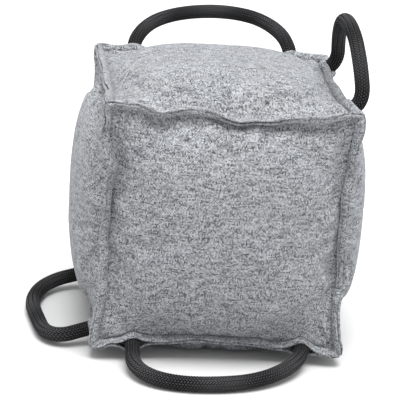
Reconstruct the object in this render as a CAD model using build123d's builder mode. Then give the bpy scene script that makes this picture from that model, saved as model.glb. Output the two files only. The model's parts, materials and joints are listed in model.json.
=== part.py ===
"""Stuffed cube training bumper with four swinging rope handles.

A woven cover of six panels is sewn into a cube with a standing welt along all
twelve edges. A closed liner bag full of stuffing presses the panels into crowns.
Both ends of each rope are caught in a seam, so each rope is a loop for a hand.
Millimetres, +Z up, +Y towards the back. The origin lies under the cube's centre,
on the plane that the flattened bottom panel rests on.
"""
import os
from math import atan2, degrees, hypot, radians, sin, sqrt, tan

from build123d import *

os.makedirs("parts", exist_ok=True)

# cube
cube_side = 200.0            # corner to corner along a seam
face_crown = 18.0            # how far a panel's middle stands out of its corners' plane
crown_power = 2.5            # fullness of a crown, from 2 for a dome to flat at large values
crown_steps = (-2 / 3, -1 / 3, 0, 1 / 3, 2 / 3)
edge_waist = 6.0             # how far a seam's middle pulls in, in both directions
base_lift = 14.0             # height of the bottom corners above the resting plane

# cloth
cover_thickness = 1.5
liner_thickness = 0.8
layer_gap = 0.3              # between cover and liner, and between liner and stuffing
seam_gap = 0.1               # from each panel to the middle plane of its seams

# welt, the two panel edges that stand out beyond the row of stitches
welt_width = 8.0
welt_ply = 1.5
welt_root = 2.0              # how deep the welt runs into the panel
welt_run_out = 4.0           # spare length of a welt, mitred off at the corner

# seam thread
thread_diameter = 0.8
thread_gap = 0.15
stitch_reach = 1.2           # from the seam line out to the row of stitches
thread_end_gap = 3.0         # from a corner to the end of a row of stitches

# rope
rope_diameter = 12.7
core_diameter = 7.4
core_gap = 0.1
rope_half_span = 70.0        # from the middle of an edge to each end of its handle
rope_gap = 0.15              # between a rope and the welt that holds it
swing_gap = 0.3              # least gap between a swinging loop and what is fixed
swing_side = 120.0           # degrees that a loop may swing from its exit direction
lower_hinge_height = 12.5    # the lower handles droop from here to the resting plane
tail_length = 16.0           # rope inside the cover, from the seam line
tail_tip_radius = 0.6
tail_room = 2.0              # from a rope tail's end to the liner
swell_wall = 1.3             # cloth of the welt over a rope
swell_reach = 3.5            # from the seam line

# bar tacks, which hold a rope's tail
tack_thread_diameter = 0.8
tack_gap = 0.15
tack_depths = (11.5, 14.5)    # inside the seam line

# worked out
half = cube_side / 2
centre_height = base_lift + half
rope_radius = rope_diameter / 2
rise = sqrt(2) * edge_waist
centre = Vector(0, 0, centre_height)
reach = half + face_crown + welt_width + cube_side

# a loop turned to its limit just clears a welt and its own tail
limit = radians(swing_side)
welt_standoff = (rope_radius + swing_gap + welt_ply / 2) / sin(limit)
nose_standoff = (rope_radius + swing_gap) / sin(limit)
shoulder_standoff = (rope_radius + swing_gap) * tan(limit / 2)

AXES = (Vector(1, 0, 0), Vector(0, 1, 0), Vector(0, 0, 1))
FACES = {
    "right": Vector(1, 0, 0),
    "left": Vector(-1, 0, 0),
    "back": Vector(0, 1, 0),
    "front": Vector(0, -1, 0),
    "top": Vector(0, 0, 1),
    "bottom": Vector(0, 0, -1),
}
EDGES = {
    "top": (("top", "front"), ("top", "right"), ("top", "back"), ("top", "left")),
    "bottom": (("bottom", "front"), ("bottom", "right"), ("bottom", "back"), ("bottom", "left")),
    "side": (("front", "right"), ("right", "back"), ("back", "left"), ("left", "front")),
}


def edge_plane(first, second):
    """Plane through the cube's centre, x along an edge and y out through it."""
    out = (FACES[first] + FACES[second]).normalized()
    flat = (FACES[first] - FACES[second]).normalized()
    along = out.cross(flat)
    if along.X + along.Y + along.Z < 0:
        along = along * -1
    return Plane(origin=centre, x_dir=along, z_dir=along.cross(out))


def seam_reach(along, offset=0.0):
    """Distance from the cube's centre line to a line beside a seam, at a place along it."""
    chord = half + offset / sqrt(2)
    radius = (chord**2 + rise**2) / (2 * rise)
    return half * sqrt(2) - rise + offset + radius - sqrt(radius**2 - along**2)


def crown_height(across, along):
    """Height of a face above its corners' plane, at two shares of half a side from its middle."""
    full = (1 - abs(across) ** crown_power) * (1 - abs(along) ** crown_power)
    waist = edge_waist * ((1 - across**2) * along**4 + (1 - along**2) * across**4)
    return face_crown * full - waist


def crowned_cube(inset):
    """Closed cube of six crowned faces, inset by a number of millimetres."""
    corner = half - inset
    waist = corner - edge_waist

    def seam(start, end):
        middle = [
            0 if a * b < 0 else (waist if a > 0 else -waist)
            for a, b in zip(tuple(start), tuple(end))
        ]
        return Edge.make_three_point_arc(start, Vector(*middle), end)

    faces = []
    for face in FACES.values():
        sides = [axis for axis in AXES if abs(axis.dot(face)) < 0.5]
        turns = ((-1, -1), (1, -1), (1, 1), (-1, 1))
        corners = [(face + sides[0] * a + sides[1] * b) * corner for a, b in turns]
        seams = [seam(corners[i], corners[(i + 1) % 4]) for i in range(4)]
        crown = [
            face * (corner + crown_height(a, b)) + (sides[0] * a + sides[1] * b) * corner
            for a in crown_steps
            for b in crown_steps
        ]
        faces.append(Face.make_surface(Wire(seams), surface_points=crown))
    return Solid(Shell(faces)).moved(Location(centre))


def swing_plane(first, second, side):
    """Plane at a rope's exit on the seam line, z out along the rope's tail."""
    plane = edge_plane(first, second)
    place = plane.from_local_coords((side * rope_half_span, seam_reach(rope_half_span)))
    return Plane(origin=place, x_dir=plane.x_dir, z_dir=hinge_point(first, second, side) - place)


def hinge_point(first, second, side):
    """Centre of the ball end of a loop, on the line that the loop swings about."""
    plane = edge_plane(first, second)
    welt = seam_reach(rope_half_span, welt_width)
    if first == "top":
        return plane.from_local_coords((side * rope_half_span, welt + welt_standoff))
    tip = plane.from_local_coords((side * rope_half_span, welt))
    out = sqrt(welt_standoff**2 - (tip.Z - lower_hinge_height) ** 2)
    place = tip + FACES[second] * out
    return Vector(place.X, place.Y, lower_hinge_height)


# ---------------------------------------------------------------- handles
# Each route is the corners that the rope turns between its two ends: millimetres
# along the edge, and out from the line that joins the ends, which it swings about.
HANDLES = {
    "back_handle": {
        "edge": ("top", "back"),
        "rest": 25.0,
        "route": [(-57, 25), (-36, 40), (-9, 48), (18, 49), (44, 42), (63, 23)],
    },
    "right_handle": {
        "edge": ("top", "right"),
        "rest": 97.0,
        "route": [(-61, 24), (-41, 42), (-12, 49), (18, 48), (44, 39), (62, 21)],
    },
    "front_handle": {
        "edge": ("bottom", "front"),
        "rest": -6.0,
        "route": [(-71, 24), (-59, 45), (-34, 55), (0, 54), (30, 45), (55, 25)],
    },
    "left_handle": {
        "edge": ("bottom", "left"),
        "rest": -8.0,
        "route": [(-78, 17), (-66, 31), (-36, 36), (8, 42), (42, 35), (62, 19)],
    },
}


def loop_plane(edge, rest):
    """Plane of a loop at rest, x along the edge and y out, rest degrees above level."""
    first, second = edge
    middle = (hinge_point(first, second, -1) + hinge_point(first, second, 1)) * 0.5
    along = edge_plane(first, second).x_dir
    level = FACES[second]
    turn = along if along.cross(level).Z > 0 else along * -1
    out = level.rotate(Axis((0, 0, 0), tuple(turn)), rest)
    return Plane(origin=middle, x_dir=along, z_dir=along.cross(out))


def arc_radii(route):
    """Radius for each inner point: 0.45 of its shorter run over the tangent of half its turn."""
    radii = []
    for before, here, after in zip(route, route[1:], route[2:]):
        run_in = (here[0] - before[0], here[1] - before[1])
        run_out = (after[0] - here[0], after[1] - here[1])
        turn = degrees(atan2(*reversed(run_out)) - atan2(*reversed(run_in)))
        turn = abs((turn + 180) % 360 - 180)
        radii.append(0.45 * min(hypot(*run_in), hypot(*run_out)) / tan(radians(turn / 2)))
    return radii


def rope_line(name):
    """Centre line of a loop, straight runs joined by tangent arcs."""
    handle = HANDLES[name]
    plane = loop_plane(handle["edge"], handle["rest"])
    route = [(-rope_half_span, 0), *handle["route"], (rope_half_span, 0)]
    points = [plane.from_local_coords(point) for point in route]
    with BuildLine():
        line = FilletPolyline(*points, radius=arc_radii(route))
    return line, points


def export(part, name):
    """Label one finished piece and write it."""
    part.label = name
    export_step(part, f"parts/{name}.step")


# ---------------------------------------------------------------- cover
with BuildPart() as cover_room:
    add(crowned_cube(cover_thickness))
    split(bisect_by=Plane.XY.offset(cover_thickness), keep=Keep.TOP)

with BuildPart() as cover:
    add(crowned_cube(0))
    split(bisect_by=Plane.XY, keep=Keep.TOP)
    add(cover_room.part, mode=Mode.SUBTRACT)
    for pair in EDGES["top"] + EDGES["bottom"] + EDGES["side"]:
        root = half - welt_root / sqrt(2)
        tip = half + welt_width / sqrt(2)
        with BuildSketch(edge_plane(*pair)):
            with BuildLine():
                Polyline(
                    (-tip, tip * sqrt(2)),
                    (-tip - welt_run_out, tip * sqrt(2)),
                    (-root - welt_run_out, root * sqrt(2)),
                    (-root, root * sqrt(2)),
                )
                ThreePointArc(
                    (-root, root * sqrt(2)),
                    (0, seam_reach(0, -welt_root)),
                    (root, root * sqrt(2)),
                )
                Polyline(
                    (root, root * sqrt(2)),
                    (root + welt_run_out, root * sqrt(2)),
                    (tip + welt_run_out, tip * sqrt(2)),
                    (tip, tip * sqrt(2)),
                )
                ThreePointArc(
                    (tip, tip * sqrt(2)),
                    (0, seam_reach(0, welt_width)),
                    (-tip, tip * sqrt(2)),
                )
            make_face()
        extrude(amount=welt_ply, both=True)
    for handle in HANDLES.values():
        for side in (-1, 1):
            exit_plane = swing_plane(*handle["edge"], side)
            with BuildSketch(exit_plane.offset(-welt_root)):
                Circle(rope_radius + rope_gap + swell_wall)
            extrude(amount=welt_root + swell_reach)
            with BuildSketch(exit_plane.offset(-tail_length - tail_room)):
                Circle(rope_radius + rope_gap)
            extrude(amount=tail_length + tail_room + welt_width + welt_standoff, mode=Mode.SUBTRACT)
            with BuildSketch(exit_plane.offset(-tail_length - tail_room)):
                Circle(rope_radius + 2 * tack_gap + tack_thread_diameter)
            extrude(amount=tail_length + tail_room - tack_depths[0] + tack_thread_diameter,
                    mode=Mode.SUBTRACT)

# ---------------------------------------------------------------- seam threads
thread_lines = {}
for pairs in EDGES.values():
    for pair in pairs:
        ends = half - thread_end_gap
        with BuildLine(edge_plane(*pair)) as thread_line:
            ThreePointArc(
                (-ends, seam_reach(ends, stitch_reach)),
                (0, seam_reach(0, stitch_reach)),
                (ends, seam_reach(ends, stitch_reach)),
            )
        thread_lines[pair] = thread_line.line

for run, pairs in EDGES.items():
    with BuildPart() as seam_thread:
        for pair in pairs:
            line = thread_lines[pair]
            with BuildSketch(Plane(origin=line @ 0, z_dir=line % 0)):
                Circle(thread_diameter / 2)
            sweep(path=line)
        for handle in HANDLES.values():
            for side in (-1, 1):
                with BuildSketch(swing_plane(*handle["edge"], side).offset(-welt_width)):
                    Circle(rope_radius + rope_gap + thread_gap)
                extrude(amount=2 * welt_width, mode=Mode.SUBTRACT)
    export(seam_thread.part, f"{run}_seam_threads")

# ---------------------------------------------------------------- panels
for face, out in FACES.items():
    with BuildPart() as panel:
        add(cover.part)
        for side in FACES.values():
            if abs(side.dot(out)) < 0.5:
                inward = (out - side).normalized()
                split(bisect_by=Plane(origin=centre + inward * seam_gap, z_dir=inward), keep=Keep.TOP)
        for pair, line in thread_lines.items():
            if face in pair:
                with BuildSketch(Plane(origin=line @ 0, z_dir=line % 0)):
                    Circle(thread_diameter / 2 + thread_gap)
                sweep(path=line, mode=Mode.SUBTRACT)
    export(panel.part, f"{face}_panel")


# ---------------------------------------------------------------- liner and stuffing
def filled_form(inset):
    """Crowned cube whose edges are cut back to leave room for the rope tails."""
    flat_reach = seam_reach(rope_half_span) - tail_length - tail_room
    with BuildPart() as form:
        add(crowned_cube(inset))
        for turn in ((45, 0, 0), (0, 45, 0), (0, 0, 45)):
            size = [2 * (flat_reach - (inset - cover_thickness))] * 3
            size[turn.index(45)] = reach
            with Locations(centre):
                Box(*size, rotation=turn, mode=Mode.INTERSECT)
        split(bisect_by=Plane.XY.offset(inset), keep=Keep.TOP)
    return form.part


liner_inset = cover_thickness + layer_gap
with BuildPart() as inner_liner:
    add(filled_form(liner_inset))
    add(filled_form(liner_inset + liner_thickness), mode=Mode.SUBTRACT)
export(inner_liner.part, "inner_liner")

with BuildPart() as stuffing:
    add(filled_form(liner_inset + liner_thickness + layer_gap))
export(stuffing.part, "stuffing")

# ---------------------------------------------------------------- rope handles
for name, handle in HANDLES.items():
    line, points = rope_line(name)
    start = Plane(origin=line @ 0, z_dir=line % 0)

    with BuildPart() as rope_core:
        with BuildSketch(start):
            Circle(core_diameter / 2)
        sweep(path=line)
    export(rope_core.part, f"{name}_core")

    with BuildPart() as rope_sheath:
        with BuildSketch(start):
            Circle(rope_radius)
        sweep(path=line)
        with Locations(points[0], points[-1]):
            Sphere(rope_radius)
        with BuildSketch(start):
            Circle(core_diameter / 2 + core_gap)
        sweep(path=line, mode=Mode.SUBTRACT)
    export(rope_sheath.part, f"{name}_sheath")

    with BuildPart() as rope_tails:
        for side in (-1, 1):
            exit_plane = swing_plane(*handle["edge"], side)
            hinge = (hinge_point(*handle["edge"], side) - exit_plane.origin).length
            with BuildSketch(Plane(origin=exit_plane.origin, x_dir=exit_plane.x_dir,
                                   z_dir=exit_plane.x_dir.cross(exit_plane.z_dir))):
                with BuildLine():
                    Polyline(
                        (0, -tail_length),
                        (rope_radius, -tail_length),
                        (rope_radius, hinge - shoulder_standoff),
                        (tail_tip_radius, hinge - nose_standoff),
                        (0, hinge - nose_standoff),
                        close=True,
                    )
                make_face()
            revolve(axis=Axis(exit_plane.origin, exit_plane.z_dir))
    export(rope_tails.part, f"{name}_tails")

    with BuildPart() as bar_tacks:
        for side in (-1, 1):
            exit_plane = swing_plane(*handle["edge"], side)
            for depth in tack_depths:
                with Locations(exit_plane.offset(-depth)):
                    Torus(rope_radius + tack_gap + tack_thread_diameter / 2, tack_thread_diameter / 2)
    export(bar_tacks.part, f"{name}_tacks")

    print(name, "length", round(line.length, 1), "volume", round(rope_sheath.part.volume, 1))
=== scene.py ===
"""Training bumper: a stuffed cloth cube with welted seams and four braided rope handles."""

import json
import math

import bpy
import numpy as np
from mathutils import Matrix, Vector


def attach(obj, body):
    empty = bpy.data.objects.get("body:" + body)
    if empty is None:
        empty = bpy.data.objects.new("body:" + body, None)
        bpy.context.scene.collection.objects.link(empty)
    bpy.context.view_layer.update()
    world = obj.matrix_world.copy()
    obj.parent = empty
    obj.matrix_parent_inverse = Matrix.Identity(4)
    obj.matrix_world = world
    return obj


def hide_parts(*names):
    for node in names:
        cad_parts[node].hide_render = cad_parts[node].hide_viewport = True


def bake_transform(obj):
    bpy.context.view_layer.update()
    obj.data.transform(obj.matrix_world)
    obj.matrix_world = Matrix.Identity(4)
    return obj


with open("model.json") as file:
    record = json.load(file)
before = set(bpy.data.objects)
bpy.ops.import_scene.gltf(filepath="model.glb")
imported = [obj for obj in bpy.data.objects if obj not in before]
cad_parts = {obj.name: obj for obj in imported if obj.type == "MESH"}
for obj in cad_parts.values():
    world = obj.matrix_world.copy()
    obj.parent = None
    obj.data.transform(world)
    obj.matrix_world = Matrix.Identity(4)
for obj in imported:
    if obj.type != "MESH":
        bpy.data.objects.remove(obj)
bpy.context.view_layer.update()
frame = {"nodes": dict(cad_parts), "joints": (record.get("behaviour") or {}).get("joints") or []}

rng = np.random.default_rng(7)

# ---------------------------------------------------------------- camera

CENTRE = np.array([0.0, 0.0, 0.114])
AZIMUTH, ELEVATION, ROLL = (math.radians(x) for x in (-6.031, 17.082, 4.216))
CAMERA_DISTANCE = 1.7
CAMERA_SIDEWAYS, CAMERA_DOWN = 0.01228, 0.00426
FOCAL_LENGTH, SENSOR_WIDTH = 177.9, 36.0

look = Vector(
    (
        -math.sin(AZIMUTH) * math.cos(ELEVATION),
        math.cos(AZIMUTH) * math.cos(ELEVATION),
        -math.sin(ELEVATION),
    )
)
right = look.cross(Vector((0, 0, 1))).normalized()
up = right.cross(look)
side = right * math.cos(ROLL) + up * math.sin(ROLL)
top = up * math.cos(ROLL) - right * math.sin(ROLL)
eye = Vector(CENTRE) - CAMERA_DISTANCE * look - CAMERA_SIDEWAYS * side - CAMERA_DOWN * top

camera = bpy.data.objects.new("camera", bpy.data.cameras.new("camera"))
bpy.context.scene.collection.objects.link(camera)
bpy.context.scene.camera = camera
camera.data.lens = FOCAL_LENGTH
camera.data.sensor_width = SENSOR_WIDTH
camera.data.clip_start = 0.05
camera.data.clip_end = 60
placing = camera.matrix_world.copy()
for column, vector in enumerate((side, top, -look, eye)):
    for row in range(3):
        placing[row][column] = vector[row]
camera.matrix_world = placing


# ---------------------------------------------------------------- node helpers


class Nodes:
    """A small writer of shader nodes."""

    def __init__(self, name):
        self.material = bpy.data.materials.new(name)
        self.material.use_nodes = True
        self.tree = self.material.node_tree
        self.shader = self.tree.nodes["Principled BSDF"]

    def node(self, kind, inputs=(), **settings):
        made = self.tree.nodes.new(kind)
        for key, value in settings.items():
            setattr(made, key, value)
        for key, value in dict(inputs).items():
            if isinstance(value, bpy.types.NodeSocket):
                self.tree.links.new(value, made.inputs[key])
            else:
                made.inputs[key].default_value = value
        return made

    def math(self, operation, *values):
        return self.node("ShaderNodeMath", enumerate(values), operation=operation).outputs[0]

    def spread(self, value, gain, middle=0.5):
        """The value's distance from one half, times gain, about the middle."""
        return self.math("MULTIPLY_ADD", self.math("SUBTRACT", value, 0.5), gain, middle)

    def clamp(self, value):
        return self.node("ShaderNodeClamp", {0: value}).outputs[0]

    def vector_math(self, operation, inputs):
        return self.node("ShaderNodeVectorMath", inputs, operation=operation).outputs[0]

    def mix(self, factor, low, high):
        """Between two colours or grey levels."""
        made = self.node("ShaderNodeMix", data_type="RGBA", inputs={0: factor})
        for key, value in ((6, low), (7, high)):
            if isinstance(value, bpy.types.NodeSocket):
                self.tree.links.new(value, made.inputs[key])
            else:
                made.inputs[key].default_value = (*value, 1)
        return made.outputs[2]

    def noise(self, vector, scale, detail=2.0, roughness=0.5):
        inputs = {"Vector": vector, "Scale": scale, "Detail": detail, "Roughness": roughness}
        return self.node("ShaderNodeTexNoise", inputs).outputs["Fac"]

    def combine(self, x, y, z=0.0):
        return self.node("ShaderNodeCombineXYZ", {0: x, 1: y, 2: z}).outputs[0]

    def set(self, **values):
        for key, value in values.items():
            socket = self.shader.inputs[key.replace("_", " ")]
            if isinstance(value, bpy.types.NodeSocket):
                self.tree.links.new(value, socket)
            else:
                socket.default_value = value

    def bump(self, height, distance, strength=1.0):
        made = self.node("ShaderNodeBump", {"Height": height, "Distance": distance, "Strength": strength})
        self.tree.links.new(made.outputs[0], self.shader.inputs["Normal"])


def woven_cloth(name, pale, dark, pitch, contrast=1.0):
    """Plain weave of mixed-grey yarns, laid out by UVs in metres.

    A crossing shows the grey of the yarn on top, with small shares of chance and of the weave.
    """
    n = Nodes(name)
    uv = n.node("ShaderNodeTexCoord").outputs["UV"]
    drift = n.node("ShaderNodeTexNoise", {"Vector": uv, "Scale": 60.0, "Detail": 1.0}).outputs["Color"]
    drift = n.vector_math("SUBTRACT", {0: drift, 1: (0.5, 0.5, 0.5)})
    drift = n.vector_math("SCALE", {0: drift, "Scale": 0.004})
    split = n.node("ShaderNodeSeparateXYZ", {0: n.vector_math("ADD", {0: uv, 1: drift})})
    u = n.math("DIVIDE", split.outputs[0], pitch)
    v = n.math("DIVIDE", split.outputs[1], pitch)
    column, row = n.math("FLOOR", u), n.math("FLOOR", v)
    # 4000 threads are added so that the remainder is taken of a positive number.
    over = n.math("MODULO", n.math("ADD", n.math("ADD", column, row), 4000.0), 2.0)
    over = n.math("GREATER_THAN", over, 0.5)

    def yarn(index, along, rate, seed):
        """Grey along one thread: short streaks, and thick places that reach over its neighbours."""
        streak_place = n.combine(n.math("MULTIPLY", index, 7.31), n.math("MULTIPLY", along, rate), seed)
        slub_place = n.combine(n.math("MULTIPLY", index, 0.45), n.math("MULTIPLY", along, 0.04), seed + 9)
        streak = n.math("MULTIPLY", n.noise(streak_place, 1.0, 1.0), 0.86)
        return n.math("MULTIPLY_ADD", n.noise(slub_place, 1.0, 2.0), 0.14, streak)

    warp = yarn(column, v, 0.36, 3.0)
    weft = n.spread(yarn(row, u, 0.09, 31.0), 1.6)
    grey = n.node("ShaderNodeMix", {0: over, 2: warp, 3: weft}, data_type="FLOAT").outputs[0]
    crossing = {"Vector": n.combine(column, row)}
    speck = n.node("ShaderNodeTexWhiteNoise", crossing, noise_dimensions="2D").outputs["Value"]
    for source, share in ((speck, 0.46), (over, 0.08), (n.noise(uv, 45.0, 3.0), 0.05)):
        grey = n.spread(source, share, grey)
    grey = n.clamp(n.spread(grey, 1.55 * contrast, 0.49))
    colour = n.mix(grey, dark, pale)
    tint = n.clamp(n.spread(n.noise(uv, 24.0, 2.0), 3.0))
    warming = {0: 1.0, 6: colour, 7: (1.0, 0.985, 0.96, 1)}
    warm = n.node("ShaderNodeMix", warming, data_type="RGBA", blend_type="MULTIPLY").outputs[2]
    colour = n.mix(n.math("MULTIPLY", tint, 0.6), colour, warm)

    across = n.math("SINE", n.math("MULTIPLY", n.math("FRACT", u), math.pi))
    along = n.math("SINE", n.math("MULTIPLY", n.math("FRACT", v), math.pi))
    height = n.math("MULTIPLY", across, along)
    hair = n.noise(uv, 5200.0, 2.0)
    height = n.math("ADD", height, n.math("MULTIPLY", hair, 0.35))
    n.bump(height, 0.00022, 0.75)
    n.set(
        Base_Color=colour,
        Roughness=0.88,
        Specular_IOR_Level=0.18,
        Sheen_Weight=0.18,
        Sheen_Roughness=0.5,
        Sheen_Tint=(0.9, 0.93, 1.0, 1),
    )
    return n.material


def rope_yarn(name, base, glint):
    """Bundled black filaments: UV x runs round a strand, y along it in metres. The glint grey is a painted
    highlight on the outer crests of the strands that lie on top.
    """
    n = Nodes(name)
    uv = n.node("ShaderNodeTexCoord").outputs["UV"]
    split = n.node("ShaderNodeSeparateXYZ", {0: uv})
    x, y = split.outputs[0], split.outputs[1]
    fibre = n.noise(n.combine(n.math("MULTIPLY", x, 26.0), n.math("MULTIPLY", y, 260.0)), 1.0, 3.0, 0.6)
    # Painted highlight: patchy noise and fibre streaks, kept to the outer crest of each strand that lies on
    # top.
    highlight_patches = n.noise(n.combine(n.math("MULTIPLY", x, 2.0), n.math("MULTIPLY", y, 90.0), 4.0), 1.0, 2.0)
    blend = n.clamp(n.spread(highlight_patches, 0.9, n.spread(fibre, 2.6, 0.35)))
    crest_highlight = n.node("ShaderNodeAttribute", attribute_name="crest_highlight").outputs["Fac"]
    blend = n.math("MULTIPLY", n.math("POWER", crest_highlight, 1.5), n.math("MULTIPLY_ADD", blend, 0.6, 0.4))
    n.bump(fibre, 0.00016, 0.9)
    n.set(
        Base_Color=n.mix(blend, base, glint),
        Roughness=0.8,
        Specular_IOR_Level=0.08,
        Sheen_Weight=0.0,
        Sheen_Roughness=0.4,
    )
    return n.material


def plain_fibre(name, pale, dark, scale):
    """Loose fibre or thread, mottled in the object's own space."""
    n = Nodes(name)
    place = n.node("ShaderNodeTexCoord").outputs["Object"]
    fibre = n.noise(place, scale, 4.0, 0.6)
    level = n.clamp(n.spread(fibre, 3.0))
    n.bump(fibre, 0.0004, 0.8)
    n.set(Base_Color=n.mix(level, dark, pale), Roughness=0.85, Specular_IOR_Level=0.2)
    return n.material


COVER_THREAD_PITCH = 0.00105
LINER_THREAD_PITCH = 0.0009
cover_cloth = woven_cloth(
    "melange cover cloth", (0.43, 0.445, 0.465), (0.052, 0.057, 0.067), COVER_THREAD_PITCH
)
liner_cloth = woven_cloth("liner cloth", (0.80, 0.78, 0.74), (0.50, 0.48, 0.44), LINER_THREAD_PITCH, 0.6)
# The second grey is the painted highlight on the strands' crests.
sheath_yarn = rope_yarn("black braid", (0.003, 0.003, 0.0035), (0.135, 0.135, 0.14))
core_yarn = plain_fibre("rope core", (0.58, 0.56, 0.50), (0.26, 0.25, 0.22), 900.0)
stuffing_fibre = plain_fibre("stuffing fibre", (0.86, 0.85, 0.82), (0.55, 0.54, 0.52), 420.0)
seam_yarn = plain_fibre("seam thread", (0.42, 0.43, 0.45), (0.20, 0.21, 0.23), 1500.0)
tack_yarn = plain_fibre("tack thread", (0.09, 0.09, 0.095), (0.02, 0.02, 0.022), 1500.0)


def smoothstep(x):
    x = np.clip(x, 0, 1)
    return x * x * (3 - 2 * x)


def mesh_object(name, points, faces, material, uvs=None, smooth=True):
    """A mesh from numpy arrays; uvs are per vertex or per face corner."""
    mesh = bpy.data.meshes.new(name)
    mesh.from_pydata(points.tolist(), [], faces.tolist() if hasattr(faces, "tolist") else faces)
    if uvs is not None:
        layer = mesh.uv_layers.new(name="UVMap")
        corner_vertex = np.empty(len(mesh.loops), dtype=np.int64)
        mesh.loops.foreach_get("vertex_index", corner_vertex)
        flat = uvs[corner_vertex] if len(uvs) == len(points) else uvs
        layer.data.foreach_set("uv", np.ascontiguousarray(flat, dtype=np.float32).ravel())
    if smooth:
        mesh.polygons.foreach_set("use_smooth", np.ones(len(mesh.polygons), dtype=bool))
    mesh.materials.append(material)
    mesh.validate()
    made = bpy.data.objects.new(name, mesh)
    bpy.context.scene.collection.objects.link(made)
    return made


# ---------------------------------------------------------------- rope handles

ROPE_RADIUS = 0.00635
LINING_RADIUS = 0.0049
CARRIERS = 18
BRAID_PITCH = 0.044
STRAND_HALF_WIDTH = 0.00072
STRAND_HALF_HEIGHT = 0.00042
STRAND_DEPTH = 0.00082
STRAND_LIFT = 0.0004
PLIES = 6
PLY_RADIUS = 0.00135
PLY_OFFSET = 0.0023
PLY_PITCH = 0.03
HALF_SPAN = 0.070
TAIL = 0.016
SEAM_REACH = 0.096929

# Each route, as in the part's source, is the corners that the rope turns between its two ends:
# millimetres along the edge, and out from the line that it swings about. The rest angle of the loop
# above level is in degrees, and the length is the whole rope's in the CAD, legs and tails included.
HANDLES = {
    "back": {
        "length": 0.2493,
        "rest": 25,
        "route": [(-57, 25), (-36, 40), (-9, 48), (18, 49), (44, 42), (63, 23)],
    },
    "right": {
        "length": 0.2500,
        "rest": 97,
        "route": [(-61, 24), (-41, 42), (-12, 49), (18, 48), (44, 39), (62, 21)],
    },
    "front": {
        "length": 0.2603,
        "rest": -6,
        "route": [(-71, 24), (-59, 45), (-34, 55), (0, 54), (30, 45), (55, 25)],
    },
    "left": {
        "length": 0.2505,
        "rest": -8,
        "route": [(-78, 17), (-66, 31), (-36, 36), (8, 42), (42, 35), (62, 19)],
    },
}
JOINTS = {joint["name"]: joint for joint in frame["joints"]}


def handle_points(key):
    """The rope's control points in the row frame, its direction out of the seam and its first exit."""
    handle = HANDLES[key]
    joint = JOINTS[f"{key}_handle_swing"]
    hinge = np.array(joint["pos_m"], float)
    along = int(np.argmax(np.abs(joint["axis"])))
    outward = 1 - along
    level, along_way, seam = np.zeros(3), np.zeros(3), np.zeros(3)
    level[outward] = math.copysign(1, hinge[outward])
    along_way[along] = 1
    seam[outward] = level[outward] * SEAM_REACH
    seam[2] = CENTRE[2] + math.copysign(SEAM_REACH, hinge[2] - CENTRE[2])
    exit_way = (hinge - seam) / np.linalg.norm(hinge - seam)
    rest = math.radians(handle["rest"])
    away = level * math.cos(rest) + np.array([0, 0, 1]) * math.sin(rest)
    hinges = [hinge + along_way * s * HALF_SPAN for s in (-1, 1)]
    exits = [seam + along_way * s * HALF_SPAN for s in (-1, 1)]
    corners = [hinge + along_way * u / 1000 + away * v / 1000 for u, v in handle["route"]]
    points = [
        exits[0] - exit_way * TAIL,
        exits[0],
        hinges[0],
        *corners,
        hinges[1],
        exits[1],
        exits[1] - exit_way * TAIL,
    ]
    return np.array(points), exit_way, exits[0]


def spline_points(name, points):
    """Points along the NURBS line that has these control points."""
    curve = bpy.data.curves.new(name, "CURVE")
    curve.dimensions = "3D"
    curve.resolution_u = 24
    spline = curve.splines.new("NURBS")
    spline.points.add(len(points) - 1)
    for point, place in zip(spline.points, points):
        point.co = (*place, 1.0)
    spline.order_u = 3
    spline.use_endpoint_u = True
    holder = bpy.data.objects.new(name, curve)
    bpy.context.scene.collection.objects.link(holder)
    mesh = bpy.data.meshes.new_from_object(holder)
    line = np.array([v.co for v in mesh.vertices])
    bpy.data.objects.remove(holder)
    bpy.data.meshes.remove(mesh)
    bpy.data.curves.remove(curve)
    return line


def even_steps(line, step):
    """The same line with points at even steps, and how far along it each one is."""
    lengths = np.concatenate([[0], np.cumsum(np.linalg.norm(np.diff(line, axis=0), axis=1))])
    count = int(round(lengths[-1] / step)) + 1
    places = np.linspace(0, lengths[-1], count)
    return np.stack([np.interp(places, lengths, line[:, k]) for k in range(3)], axis=1), places


def frames_along(line):
    """Directions along and across the line, turned as little as possible from point to point."""
    ahead = np.gradient(line, axis=0)
    ahead /= np.linalg.norm(ahead, axis=1)[:, None]
    across = np.empty_like(line)
    start = np.cross(ahead[0], [0.3, 0.2, 0.9])
    across[0] = start / np.linalg.norm(start)
    for i in range(1, len(line)):
        carried = across[i - 1] - ahead[i] * np.dot(across[i - 1], ahead[i])
        across[i] = carried / np.linalg.norm(carried)
    return ahead, across, np.cross(ahead, across)


def tube_faces(rings, sides, first=0):
    """Quads of a tube, and a cap at each end."""
    ring, turn = np.meshgrid(np.arange(rings - 1), np.arange(sides), indexing="ij")
    here = first + ring * sides + turn
    beside = first + ring * sides + (turn + 1) % sides
    quads = np.stack([here, beside, beside + sides, here + sides], axis=-1).reshape(-1, 4).tolist()
    quads.append([first + k for k in range(sides)][::-1])
    quads.append([first + (rings - 1) * sides + k for k in range(sides)])
    return quads


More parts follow.
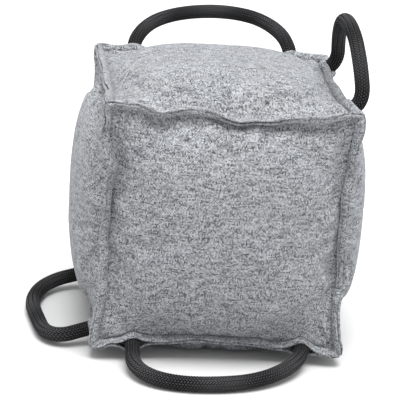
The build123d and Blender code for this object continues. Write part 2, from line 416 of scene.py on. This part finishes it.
def braided_sheath(name, line):
    """A dark inner tube and two sets of strands that pass over two and under two, marked where their crests
    get a painted highlight.
    """
    centre, places = even_steps(line, 0.0012)
    ahead, across, over = frames_along(centre)
    points, faces, uvs, crest_highlights = [], [], [], []
    count = len(centre)

    def add_tube(middle, wide, tall, out, sideways, sides, seed, over_now=None):
        turn = (np.arange(sides) + 0.5) * 2 * math.pi / sides
        ring = (
            middle[:, None]
            + out[:, None] * (np.sin(turn) * tall)[None, :, None]
            + sideways[:, None] * (np.cos(turn) * wide)[None, :, None]
        )
        faces.extend(tube_faces(count, sides, sum(len(p) for p in points)))
        points.append(ring.reshape(-1, 3))
        uv = np.stack(np.broadcast_arrays((turn / (2 * math.pi))[None] + seed, places[:, None]), axis=-1)
        uvs.append(uv.reshape(-1, 2))
        if over_now is None:
            crest_highlights.append(np.zeros(count * sides))
        else:
            # The painted highlight's mask: the strand's outer side, where it lies on top.
            outer = np.clip(np.sin(turn) * 1.25 - 0.25, 0, 1)
            crest_highlights.append((over_now[:, None] * outer[None]).ravel())

    add_tube(centre, LINING_RADIUS, LINING_RADIUS, over, across, 20, 0.0)
    for hand in (1, -1):
        for carrier in range(CARRIERS):
            angle = 2 * math.pi * (carrier / CARRIERS + hand * places / BRAID_PITCH)
            crossing = 2 * carrier + hand * 2 * CARRIERS * places / BRAID_PITCH
            lift = hand * np.cos(2 * math.pi * (crossing - 0.5) / 4)
            lift = np.clip(lift * 1.6, -1, 1)
            out = across * np.cos(angle)[:, None] + over * np.sin(angle)[:, None]
            middle = centre + out * (ROPE_RADIUS - STRAND_DEPTH + STRAND_LIFT * lift)[:, None]
            way = np.gradient(middle, axis=0)
            way /= np.linalg.norm(way, axis=1)[:, None]
            sideways = np.cross(way, out)
            sideways /= np.linalg.norm(sideways, axis=1)[:, None]
            size = (STRAND_HALF_WIDTH, STRAND_HALF_HEIGHT)
            add_tube(middle, *size, out, sideways, 6, rng.random() * 40, smoothstep(lift))
    made = mesh_object(name, np.concatenate(points), faces, sheath_yarn, np.concatenate(uvs))
    # The mask of the painted highlight on the strand crests, for the shader.
    crest_highlight = made.data.attributes.new("crest_highlight", "FLOAT", "POINT")
    crest_highlight.data.foreach_set("value", np.concatenate(crest_highlights).astype(np.float32))
    return made


def twisted_core(name, line):
    """Plies twisted about the line."""
    centre, places = even_steps(line, 0.0020)
    ahead, across, over = frames_along(centre)
    points, faces = [], []
    turn = np.arange(8) * math.pi / 4
    for ply in range(PLIES):
        angle = 2 * math.pi * (ply / PLIES + places / PLY_PITCH)
        out = across * np.cos(angle)[:, None] + over * np.sin(angle)[:, None]
        middle = centre + out * PLY_OFFSET
        beside = np.cross(ahead, out)
        ring = middle[:, None] + out[:, None] * (np.sin(turn) * PLY_RADIUS)[None, :, None]
        ring = ring + beside[:, None] * (np.cos(turn) * PLY_RADIUS)[None, :, None]
        faces.extend(tube_faces(len(centre), 8, sum(len(p) for p in points)))
        points.append(ring.reshape(-1, 3))
    return mesh_object(name, np.concatenate(points), faces, core_yarn)


for key, handle in HANDLES.items():
    controls, exit_way, exit_point = handle_points(key)
    line = spline_points(f"{key}_rope_line", controls)
    sheath = braided_sheath(f"{key}_rope_sheath", line)
    core = twisted_core(f"{key}_rope_core", line[2:-2])
    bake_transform(sheath)
    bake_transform(core)
    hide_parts(f"{key}_handle_sheath", f"{key}_handle_tails")
    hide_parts(f"{key}_handle_core")

# ---------------------------------------------------------------- cover

HALF = 0.100
CROWN = 0.018
CROWN_POWER = 2.5
WAIST = 0.006
PUFF = 0.0042
PUFF_REACH = 0.0065
CORNER_PULL = 0.0036
CORNER_REACH = 0.0062
CORNER_BLEND = 0.013
CORNER_WELT = 1.25
ROPE_CALM = 0.014
FLOOR_GAP = 0.0006
CELLS = 150
AXES = ((0, 1), (0, -1), (1, 1), (1, -1), (2, 1), (2, -1))
FACE_NAMES = {
    (0, 1): "right",
    (0, -1): "left",
    (1, 1): "back",
    (1, -1): "front",
    (2, 1): "top",
    (2, -1): "bottom",
}
ROPE_EDGES = (((1, 1), (2, 1)), ((0, 1), (2, 1)), ((1, -1), (2, -1)), ((0, -1), (2, -1)))
LEFT_FRONT = ((0, -1), (1, -1))
RIGHT_FRONT = ((0, 1), (1, -1))
TOP_FRONT = ((1, -1), (2, 1))
FRONT = (1, -1)
BOTTOM = (2, -1)
BOTTOM_LEAN = 26.75
# The seams that face the viewer. Lean of the whole welt in degrees; then where the
# stuffing has sunk beside it (place, spread along and depth), and where the stuffing pushes the seam
# over (place, width, shift and tilt in degrees). Places and widths are shares of half the seam.
VIEWED_SEAMS = {
    LEFT_FRONT: {
        "lean": -9,
        "sinks": [(0.54, 0.24, 0.0075), (0.05, 0.40, 0.0050), (-0.6, 0.30, 0.0035)],
        "kinks": [
            (0.49, 0.10, -0.0046, -8),
            (0.80, 0.10, 0.0018, 4),
            (-0.15, 0.12, 0.0016, 6),
            (-0.55, 0.10, -0.0014, -4),
        ],
    },
    RIGHT_FRONT: {
        "lean": -9,
        "sinks": [(-0.35, 0.35, 0.0070), (0.45, 0.35, 0.0045)],
        "kinks": [(0.35, 0.14, -0.0022, -2), (-0.45, 0.12, 0.0018, 6)],
    },
    TOP_FRONT: {
        "lean": 8,
        "sinks": [(-0.62, 0.25, 0.0065), (0.62, 0.28, 0.0055), (0.0, 0.35, 0.0040)],
        "kinks": [(-0.62, 0.10, 0.0040, 8), (0.05, 0.14, 0.0010, 4), (0.66, 0.12, 0.0030, 4)],
    },
}


def others(axis):
    """The two axes that lie in a face."""
    return [k for k in range(3) if k != axis]


def is_flipped(face):
    """True if a grid over the face's two other axes has its normals inward."""
    axis, sign = face
    return (sign < 0) != (axis == 1)


def grid_quads(index):
    """Quads between the neighbours in a square array of vertex numbers."""
    corners = [index[:-1, :-1], index[1:, :-1], index[1:, 1:], index[:-1, 1:]]
    return np.stack(corners, axis=-1).reshape(-1, 4)


def crown_rise(a, b):
    """Share of the crown's height at lateral places a and b."""
    return (1 - np.abs(a) ** CROWN_POWER) * (1 - np.abs(b) ** CROWN_POWER)


def puff(share):
    """How far the stuffing swells the cloth, from 0 at a seam to 1, for a share of the way across."""
    return 1 - np.exp(-np.maximum((1 - np.abs(share)) * HALF, 0) / PUFF_REACH)


def face_points(axis, sign, a, b):
    """The crowned face at lateral places a and b, from -1 to 1, about the cube's centre."""
    p, q = others(axis)
    height = CROWN * crown_rise(a, b)
    height -= WAIST * ((1 - a**2) * b**4 + (1 - b**2) * a**4)
    out = np.zeros((*a.shape, 3))
    out[..., axis] = sign * (HALF + height + PUFF * puff(a) * puff(b))
    out[..., p] = a * HALF - np.sign(a) * WAIST * (1 - b**2) * np.abs(a) ** 3
    out[..., q] = b * HALF - np.sign(b) * WAIST * (1 - a**2) * np.abs(b) ** 3
    # The corners are rounded so that the three faces share one tangent plane there.
    from_corner = np.hypot(1 - np.abs(a), 1 - np.abs(b)) * HALF
    pull = CORNER_PULL * np.exp(-from_corner / CORNER_REACH)
    out[..., axis] -= sign * pull / math.sqrt(3)
    out[..., p] -= np.sign(a) * pull / math.sqrt(3)
    out[..., q] -= np.sign(b) * pull / math.sqrt(3)
    return out


class Edge:
    """One seam of the cube: how it wanders, leans and swells along its length."""

    def __init__(self, first, second):
        self.pair = (first, second)
        (i, si), (j, sj) = first, second
        self.tangent = 3 - i - j
        self.out = np.zeros(3)
        self.out[i], self.out[j] = si, sj
        self.out /= math.sqrt(2)
        self.aside = np.zeros(3)
        self.aside[i], self.aside[j] = si, -sj
        self.aside /= math.sqrt(2)
        self.waves = self.drawn(1.4, (0.9, 1.9, 3.1, 4.7, 7.3))
        self.leans = self.drawn(1.2, (0.7, 1.6, 2.9, 4.6))
        self.ropes = self.pair in ROPE_EDGES
        shape = VIEWED_SEAMS.get(self.pair, {})
        self.sinks = shape.get("sinks", [])
        self.kinks = shape.get("kinks", [])
        self.base = math.radians(shape.get("lean", BOTTOM_LEAN if second == BOTTOM else 0))

    @staticmethod
    def drawn(most, rates):
        """A random size and phase for each wave along the seam."""
        return [(rng.uniform(0.6, most), rng.uniform(0, 2 * math.pi), rate) for rate in rates]

    def at_ropes(self, t, reach):
        """1 at the two places where a rope leaves this seam, falling to 0 within reach."""
        if not self.ropes:
            return np.zeros_like(t)
        d = np.minimum(np.abs(t - HALF_SPAN / HALF), np.abs(t + HALF_SPAN / HALF)) * HALF
        return np.exp(-((d / reach) ** 2))

    def shift(self, t):
        """Sideways wander towards the first face, in metres."""
        taper = np.clip((1 - np.abs(t)) * 5, 0, 1) ** 0.7
        total = sum(a * np.sin(math.pi * f * t + c) / f**0.75 for a, c, f in self.waves) * 0.0011
        for place, width, size, _ in self.kinks:
            total = total + size * np.exp(-(((t - place) / width) ** 2))
        return total * taper * (1 - self.at_ropes(t, ROPE_CALM))

    def lean(self, t):
        """Lean towards the first face, in radians."""
        total = sum(a * np.sin(math.pi * f * t + c) / f**0.5 for a, c, f in self.leans) * math.radians(13)
        for place, width, _, tilt in self.kinks:
            total = total + math.radians(tilt) * np.exp(-(((t - place) / width) ** 2))
        return self.base + total * (1 - self.at_ropes(t, ROPE_CALM))

    def width(self, t):
        """The welt's width compared with the usual one."""
        return 1 + 0.12 * np.sin(7.1 * t + self.waves[0][1]) * np.cos(3.3 * t + self.waves[1][1])


EDGES = {}
for index, first in enumerate(AXES):
    for second in AXES[index + 1 :]:
        if first[0] != second[0]:
            EDGES[(first, second)] = Edge(first, second)

def edge_between(face, other):
    """The edge that two faces share, and +1 if this face is the edge's first."""
    pair = (face, other) if (face, other) in EDGES else (other, face)
    return EDGES[pair], 1 if pair[0] == face else -1


# Wrinkles come from a simulated bag: a cloth cube blown up a little, of which only the fine part is kept.
SIM_CELLS = 40
SIM_FRAMES = 20
WRINKLE_BLUR = 4.5
WRINKLE_LIMIT = 0.0034


def cube_lattice(cells):
    """A cube's surface as shared vertices from -1 to 1, and its quads."""
    places, faces, seen = [], [], {}
    for axis, sign in AXES:
        p, q = others(axis)
        for i in range(cells):
            for j in range(cells):
                quad = []
                for di, dj in ((0, 0), (1, 0), (1, 1), (0, 1)):
                    place = [0, 0, 0]
                    place[axis], place[p], place[q] = sign * cells, 2 * (i + di) - cells, 2 * (j + dj) - cells
                    if tuple(place) not in seen:
                        seen[tuple(place)] = len(places)
                        places.append(place)
                    quad.append(seen[tuple(place)])
                faces.append(quad[::-1] if is_flipped((axis, sign)) else quad)
    return np.array(places), faces, seen


def simulated_wrinkles():
    """For each face, the bag's movement on a grid of SIM_CELLS cells."""
    places, faces, seen = cube_lattice(SIM_CELLS)
    unit = places / SIM_CELLS
    start = unit * HALF
    for axis, sign in AXES:
        p, q = others(axis)
        on = unit[:, axis] == sign
        start[on, axis] += sign * CROWN * 0.5 * crown_rise(unit[on, p], unit[on, q])
    mesh = bpy.data.meshes.new("bag")
    mesh.from_pydata(start.tolist(), [], faces)
    bag = bpy.data.objects.new("bag", mesh)
    bpy.context.scene.collection.objects.link(bag)
    seam = bag.vertex_groups.new(name="seam")
    on_seam = np.nonzero((np.abs(unit) > 1 - 1e-9).sum(axis=1) >= 2)[0]
    seam.add(on_seam.tolist(), 1.0, "REPLACE")
    cloth = bag.modifiers.new("cloth", "CLOTH")
    settings = cloth.settings
    settings.quality = 5
    settings.mass = 0.2
    settings.tension_stiffness = 40
    settings.compression_stiffness = 40
    settings.shear_stiffness = 8
    settings.bending_stiffness = 0.35
    settings.vertex_group_shrink = "seam"
    settings.shrink_min = -0.02
    settings.shrink_max = 0.05
    settings.use_pressure = True
    settings.uniform_pressure_force = 1.0
    settings.effector_weights.gravity = 0
    cloth.collision_settings.use_collision = False
    cloth.point_cache.frame_end = SIM_FRAMES + 4
    scene = bpy.context.scene
    for number in range(1, SIM_FRAMES + 1):
        scene.frame_set(number)
    laid = bag.evaluated_get(bpy.context.evaluated_depsgraph_get())
    moved = np.array([v.co for v in laid.data.vertices]) - start
    scene.frame_set(1)
    bpy.data.objects.remove(bag)
    bpy.data.meshes.remove(mesh)
    grids = {}
    steps = [2 * k - SIM_CELLS for k in range(SIM_CELLS + 1)]
    for axis, sign in AXES:
        p, q = others(axis)
        grid = np.empty((SIM_CELLS + 1, SIM_CELLS + 1, 3))
        for i, x in enumerate(steps):
            for j, y in enumerate(steps):
                place = [0, 0, 0]
                place[axis], place[p], place[q] = sign * SIM_CELLS, x, y
                grid[i, j] = moved[seen[tuple(place)]]
        grids[(axis, sign)] = grid
    return grids


def blurred(grid, sigma):
    """Gaussian blur with mirrored borders."""
    radius = int(3 * sigma)
    kernel = np.exp(-0.5 * (np.arange(-radius, radius + 1) / sigma) ** 2)
    kernel /= kernel.sum()
    for direction in (0, 1):
        pad = [(0, 0)] * grid.ndim
        pad[direction] = (radius, radius)
        wide = np.pad(grid, pad, mode="reflect")
        grid = np.apply_along_axis(lambda line: np.convolve(line, kernel, mode="valid"), direction, wide)
    return grid


def finer(grid, cells):
    """Catmull-Rom resampling of a square grid."""

    def along(values):
        count = values.shape[0] - 1
        at = np.linspace(0, count, cells + 1)
        i = np.minimum(at.astype(int), count - 1)
        f = (at - i).reshape(-1, *([1] * (values.ndim - 1)))
        a, b, c, d = (values[np.clip(i + step, 0, count)] for step in (-1, 0, 1, 2))
        return b + 0.5 * f * (c - a + f * (2 * a - 5 * b + 4 * c - d + f * (3 * (b - c) + d - a)))

    return np.swapaxes(along(np.swapaxes(along(grid), 0, 1)), 0, 1)


def ripple(t, seed, rate):
    """A smooth random line of bumps along a seam, between about -1 and 1."""
    phases = np.random.default_rng(seed).uniform(0, 2 * math.pi, 6)
    return sum(np.sin(rate * (0.6 + 0.37 * k) * t + phase) for k, phase in enumerate(phases)) / 3.2


wrinkles = {}
for face, grid in simulated_wrinkles().items():
    fine = grid - blurred(grid, WRINKLE_BLUR)
    size = np.linalg.norm(fine, axis=-1, keepdims=True)
    fine = fine / np.maximum(size, 1e-9) * WRINKLE_LIMIT * np.tanh(size / WRINKLE_LIMIT)
    wrinkles[face] = finer(fine, CELLS)


WANDER_REACH = 0.020
ROPE_SWELL, SWELL_ALONG, SWELL_ACROSS = 0.0062, 0.0085, 0.013
SINK_MIDDLE, SINK_REACH = 0.0050, 0.0060
CORNER_FOLD, FOLD_REACH = 0.0026, 0.032
# Seed step, waves along the seam, and then how far in they rise, how far in they fade and their size.
PUCKERS = ((0, 17, 0.006, 0.0065, 0.00085), (500, 34, 0.003, 0.0032, 0.0004))


def panel_surface(face, a, b, wrinkle):
    """The face with its seams' wander, ropes' swelling, puckers and wrinkles, about the cube's centre."""
    axis, sign = face
    p, q = others(axis)
    points = face_points(axis, sign, a, b)
    normal = np.zeros(3)
    normal[axis] = sign
    for lateral, across, along in ((p, a, b), (q, b, a)):
        for s in (-1, 1):
            edge, role = edge_between(face, (lateral, s))
            d = (1 - s * across) * HALF
            points += (edge.shift(along) * np.exp(-((d / WANDER_REACH) ** 2)))[..., None] * edge.aside
            swell = edge.at_ropes(along, SWELL_ALONG) * np.exp(-((d / SWELL_ACROSS) ** 2)) * ROPE_SWELL
            swell_way = math.cos(edge.base) * edge.aside - math.sin(edge.base) * edge.out
            points += swell[..., None] * swell_way * role
            seed = 1000 + 37 * axis + 11 * (sign > 0) + 5 * lateral + 3 * (s > 0)
            gather = np.zeros_like(d)
            for seed_step, waves, rise, fade, size in PUCKERS:
                gather += ripple(along, seed + seed_step, waves) * (d / rise) * np.exp(-d / fade) * size
            if face == FRONT:
                into = ((d - SINK_MIDDLE) / SINK_REACH) ** 2
                for place, spread, depth in edge.sinks:
                    gather -= depth * np.exp(-(((along - place) / spread) ** 2) - into)
            calm = smoothstep((1 - np.abs(along)) * HALF / 0.012)
            points += (gather * calm)[..., None] * normal
    edge_d = np.minimum((1 - np.abs(a)), (1 - np.abs(b))) * HALF
    points += wrinkle * smoothstep(edge_d / 0.010)[..., None]
    # Folds that run from each corner towards the face's middle.
    for ca in (-1, 1):
        for cb in (-1, 1):
            x, y = (1 - ca * a) * HALF, (1 - cb * b) * HALF
            r = np.hypot(x, y)
            turn = np.arctan2(y, x)
            seed = 50 + 16 * axis + 8 * (sign > 0) + 2 * (ca > 0) + (cb > 0)
            fold = ripple(turn, seed, 5.5) * np.sin(2 * turn) ** 2
            size = CORNER_FOLD * smoothstep(r / 0.012) * np.exp(-((r / FOLD_REACH) ** 2))
            points += (fold * size)[..., None] * normal
    return points


# A ply of the welt in section, from the seam out and folded back: off the seam's plane, and out.
WELT = [
    (0.0006, 0.0000),
    (0.0016, 0.0004),
    (0.0025, 0.0013),
    (0.0030, 0.0028),
    (0.0031, 0.0046),
    (0.0028, 0.0062),
    (0.0021, 0.0074),
    (0.0013, 0.0079),
    (0.0006, 0.0076),
    (0.0003, 0.0066),
    (0.0003, 0.0050),
]


def corner_blend(t):
    """0 along a seam, 1 at its ends."""
    return smoothstep(1 - (1 - np.abs(t)) * HALF / CORNER_BLEND)


def welt_ways(edge, role, face, t):
    """Out along the welt and off it to this face's side, for places t along the edge."""
    near = corner_blend(t)
    lean = edge.lean(t) * (1 - near)
    out = np.cos(lean)[:, None] * edge.out + np.sin(lean)[:, None] * edge.aside
    off = (np.cos(lean)[:, None] * edge.aside - np.sin(lean)[:, None] * edge.out) * role
    diagonal = np.sign(edge.out)[None, :].repeat(len(t), axis=0)
    diagonal[:, edge.tangent] = np.sign(t)
    diagonal /= math.sqrt(3)
    face_way = np.zeros(3)
    face_way[face[0]] = face[1]
    corner_off = face_way - diagonal * (diagonal @ face_way)[:, None]
    corner_off /= np.linalg.norm(corner_off, axis=1)[:, None]
    out = out * (1 - near)[:, None] + diagonal * near[:, None]
    out /= np.linalg.norm(out, axis=1)[:, None]
    off = off * (1 - near)[:, None] + corner_off * near[:, None]
    off -= out * (off * out).sum(axis=1)[:, None]
    off /= np.linalg.norm(off, axis=1)[:, None]
    return out, off


def settled(points):
    """Into the row frame, with the underside pressed flat on the floor."""
    points = points + CENTRE
    above = points[..., 2] - FLOOR_GAP
    points[..., 2] = FLOOR_GAP + 0.5 * (above + np.sqrt(above**2 + 0.0016**2))
    return points


def border_loop(n):
    """(grid index i, grid index j) round a square grid of n cells a side, counter-clockwise."""
    return (
        [(k, 0) for k in range(n)]
        + [(n, k) for k in range(n)]
        + [(n - k, n) for k in range(n)]
        + [(0, n - k) for k in range(n)]
    )


def border_ways(face, a, b, loop):
    """At each place round a panel: the welt's two directions, its width and its way in the UVs."""
    p, q = others(face[0])
    outs, offs = np.zeros((len(loop), 3)), np.zeros((len(loop), 3))
    width = np.ones(len(loop))
    uv_out = np.zeros((len(loop), 2))
    for part, (lateral, s) in enumerate(((q, -1), (p, 1), (q, 1), (p, -1))):
        members = np.arange(part * CELLS, (part + 1) * CELLS)
        i, j = np.array([loop[k] for k in members]).T
        t = (a if lateral == q else b)[i, j]
        edge, role = edge_between(face, (lateral, s))
        outs[members], offs[members] = welt_ways(edge, role, face, t)
        width[members] = edge.width(t) * (1 - corner_blend(t)) + CORNER_WELT * corner_blend(t)
        uv_out[members] = (0, s) if lateral == q else (s, 0)
        at_corner = (np.abs(a[i, j]) > 0.99) & (np.abs(b[i, j]) > 0.99)
        diagonal = np.stack([np.sign(a[i, j]), np.sign(b[i, j])], axis=1)
        uv_out[members[at_corner]] = diagonal[at_corner] * 0.7
    return outs, offs, width, uv_out


def build_panel(face):
    """One panel: its crowned middle and, round it, the ply of the welt folded back into the seam."""
    line = np.linspace(-1, 1, CELLS + 1)
    line = np.sign(line) * (1 - (1 - np.abs(line)) ** 1.12)
    a, b = np.meshgrid(line, line, indexing="ij")
    grid = panel_surface(face, a, b, wrinkles[face])
    count = CELLS + 1
    index = np.arange(count * count).reshape(count, count)
    points = [grid.reshape(-1, 3)]
    uvs = [np.stack([a * HALF, b * HALF], axis=-1).reshape(-1, 2)]
    quads = [grid_quads(index)]

    loop = border_loop(CELLS)
    previous = np.array([index[i, j] for i, j in loop])
    base = grid[tuple(np.array(loop).T)]
    uv_base = uvs[0][previous]
    outs, offs, width, uv_out = border_ways(face, a, b, loop)

    def welt_row(off_size, out_size):
        return base + outs * (out_size * width)[:, None] + offs * off_size

    points[0][previous] = welt_row(*WELT[0])
    total = count * count
    travelled = 0.0
    for before, here in zip(WELT, WELT[1:]):
        travelled += math.dist(here, before)
        points.append(welt_row(*here))
        uvs.append(uv_base + uv_out * travelled)
        numbers = total + np.arange(len(loop))
        total += len(loop)
        ring = [previous, np.roll(previous, -1), np.roll(numbers, -1), numbers]
        quads.append(np.stack(ring, axis=-1)[:, ::-1])
        previous = numbers
    quads = np.concatenate(quads)
    if is_flipped(face):
        quads = quads[:, ::-1]
    return settled(np.concatenate(points)), quads, np.concatenate(uvs)


for face, name in FACE_NAMES.items():
    points, quads, uvs = build_panel(face)
    turned = uvs + rng.uniform(-3, 3, 2)
    panel = mesh_object(f"{name}_panel_cloth", points, quads, cover_cloth, turned)
    thickness = panel.modifiers.new("thickness", "SOLIDIFY")
    thickness.thickness = 0.0005
    thickness.offset = -1
    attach(panel, "bumper")
    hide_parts(f"{name}_panel")

# ---------------------------------------------------------------- stitches


STITCH_PITCH = 0.0032
STITCH_MARGIN = 0.006
STITCH_PLACES = (-0.0013, -0.0009, 0.0, 0.0009, 0.0013)
STITCH_DEPTHS = (0.0002, 0.0010, 0.0015, 0.0010, 0.0002)
STITCH_RADII = (0.00022, 0.00036, 0.0004, 0.00036, 0.00022)


def stitch_line(edge, role, face):
    """Short thread capsules in the valley beside the welt, left out where a rope passes."""
    count = int(2 * (HALF - STITCH_MARGIN) / STITCH_PITCH)
    reach = 1 - STITCH_MARGIN / HALF
    mids = np.linspace(-reach, reach, count)
    mids = mids[edge.at_ropes(mids, 0.009) < 0.25]
    points, faces = [], []
    turn = np.arange(6) * math.pi / 3
    other = edge.pair[1] if edge.pair[0] == face else edge.pair[0]
    for mid in mids:
        t = mid + np.array(STITCH_PLACES) / HALF
        p, q = others(face[0])
        across = np.full_like(t, other[1])
        a, b = (across, t) if other[0] == p else (t, across)
        base = face_points(face[0], face[1], a, b) + edge.shift(t)[:, None] * edge.aside
        out, off = welt_ways(edge, role, face, t)
        depth = np.array(STITCH_DEPTHS)
        centre = base + out * 0.0009 + off * (0.0010 + depth * 0.5)[:, None]
        tangent = np.gradient(centre, axis=0)
        tangent /= np.linalg.norm(tangent, axis=1)[:, None]
        one = np.cross(tangent, out)
        one /= np.linalg.norm(one, axis=1)[:, None]
        two = np.cross(tangent, one)
        radius = np.array(STITCH_RADII)
        circle = one[:, None] * np.cos(turn)[None, :, None] + two[:, None] * np.sin(turn)[None, :, None]
        ring = centre[:, None] + radius[:, None, None] * circle
        faces.extend(tube_faces(5, 6, sum(len(x) for x in points)))
        points.append(ring.reshape(-1, 3))
    return points, faces


def stitched(name, edges):
    """All the stitches of several seams as one piece."""
    points, faces, total = [], [], 0
    for edge in edges:
        for face, role in ((edge.pair[0], 1), (edge.pair[1], -1)):
            new_points, new_faces = stitch_line(edge, role, face)
            faces.extend([[k + total for k in f] for f in new_faces])
            points.extend(new_points)
            total += sum(len(x) for x in new_points)
    made = mesh_object(name, settled(np.concatenate(points)), faces, seam_yarn)
    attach(made, "bumper")
    return made


for group, wanted in (
    ("top", lambda e: e.pair[1] == (2, 1)),
    ("bottom", lambda e: e.pair[1] == (2, -1)),
    ("side", lambda e: e.pair[1][0] != 2),
):
    threads = stitched(f"{group}_seam_stitches", [e for e in EDGES.values() if wanted(e)])
    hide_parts(f"{group}_seam_threads")

# ---------------------------------------------------------------- liner and stuffing


def closed_body(name, inset, cells, material, roughness):
    """The cube's own surface drawn inwards and closed, with lumps of the given roughness."""
    line = np.linspace(-1, 1, cells + 1)
    a, b = np.meshgrid(line, line, indexing="ij")
    count = cells + 1
    points, quads, uvs = [], [], []
    for number, face in enumerate(AXES):
        axis, sign = face
        surface = face_points(axis, sign, a, b)
        x, y, z = np.moveaxis(surface, -1, 0)
        lumps = roughness * np.sin(41 * x + 3) * np.sin(37 * y) * np.sin(43 * z)
        surface = surface * ((HALF - inset) / HALF + lumps[..., None])
        points.append(surface.reshape(-1, 3))
        uvs.append(np.stack([a * HALF + axis, b * HALF + sign], axis=-1).reshape(-1, 2))
        index = np.arange(count * count).reshape(count, count) + number * count * count
        face_quads = grid_quads(index)
        quads.append(face_quads[:, ::-1] if is_flipped(face) else face_quads)
    points = settled(np.concatenate(points))
    points[:, 2] += inset * (1 - smoothstep(points[:, 2] / 0.03))
    made = mesh_object(name, points, np.concatenate(quads), material, np.concatenate(uvs))
    weld = made.modifiers.new("weld", "WELD")
    weld.merge_threshold = 0.0002
    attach(made, "bumper")
    return made


# Both lie deeper than in the CAD, so that they stay under the cover where it has sunk.
LINER_INSET, STUFFING_INSET = 0.0105, 0.0130

liner = closed_body("inner_liner_cloth", LINER_INSET, 70, liner_cloth, 0.0)
wall = liner.modifiers.new("thickness", "SOLIDIFY")
wall.thickness = 0.0008
wall.offset = -1
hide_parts("inner_liner")
stuffing = closed_body("stuffing_fibre", STUFFING_INSET, 60, stuffing_fibre, 0.004)
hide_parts("stuffing")

for node, thing in frame["nodes"].items():
    if node.endswith("_tacks"):
        thing.data.materials.clear()
        thing.data.materials.append(tack_yarn)

# ---------------------------------------------------------------- floor and light


FLOOR_HALF = 8.0
floor_paper = Nodes("floor")
grain = floor_paper.noise(floor_paper.node("ShaderNodeTexCoord").outputs["Object"], 3.0, 2.0)
floor_paper.set(Base_Color=floor_paper.mix(grain, (0.62, 0.62, 0.62), (0.66, 0.66, 0.66)), Roughness=0.9)
floor = mesh_object(
    "floor",
    np.array([[x * FLOOR_HALF, y * FLOOR_HALF, 0] for x, y in ((-1, -1), (1, -1), (1, 1), (-1, 1))]),
    np.array([[0, 1, 2, 3]]),
    floor_paper.material,
    smooth=False,
)

world = bpy.data.worlds.new("studio")
bpy.context.scene.world = world
world.use_nodes = True
world.node_tree.nodes["Background"].inputs["Color"].default_value = (1, 1, 1, 1)
world.node_tree.nodes["Background"].inputs["Strength"].default_value = 0.90
sun = bpy.data.lights.new("key", "SUN")
sun.energy = 4.1
sun.angle = 0.75
key = bpy.data.objects.new("key", sun)
key.rotation_euler = Vector((-0.06, 0.20, -1.0)).to_track_quat("-Z", "Y").to_euler()
bpy.context.scene.collection.objects.link(key)

bpy.context.scene.view_settings.view_transform = "Standard"
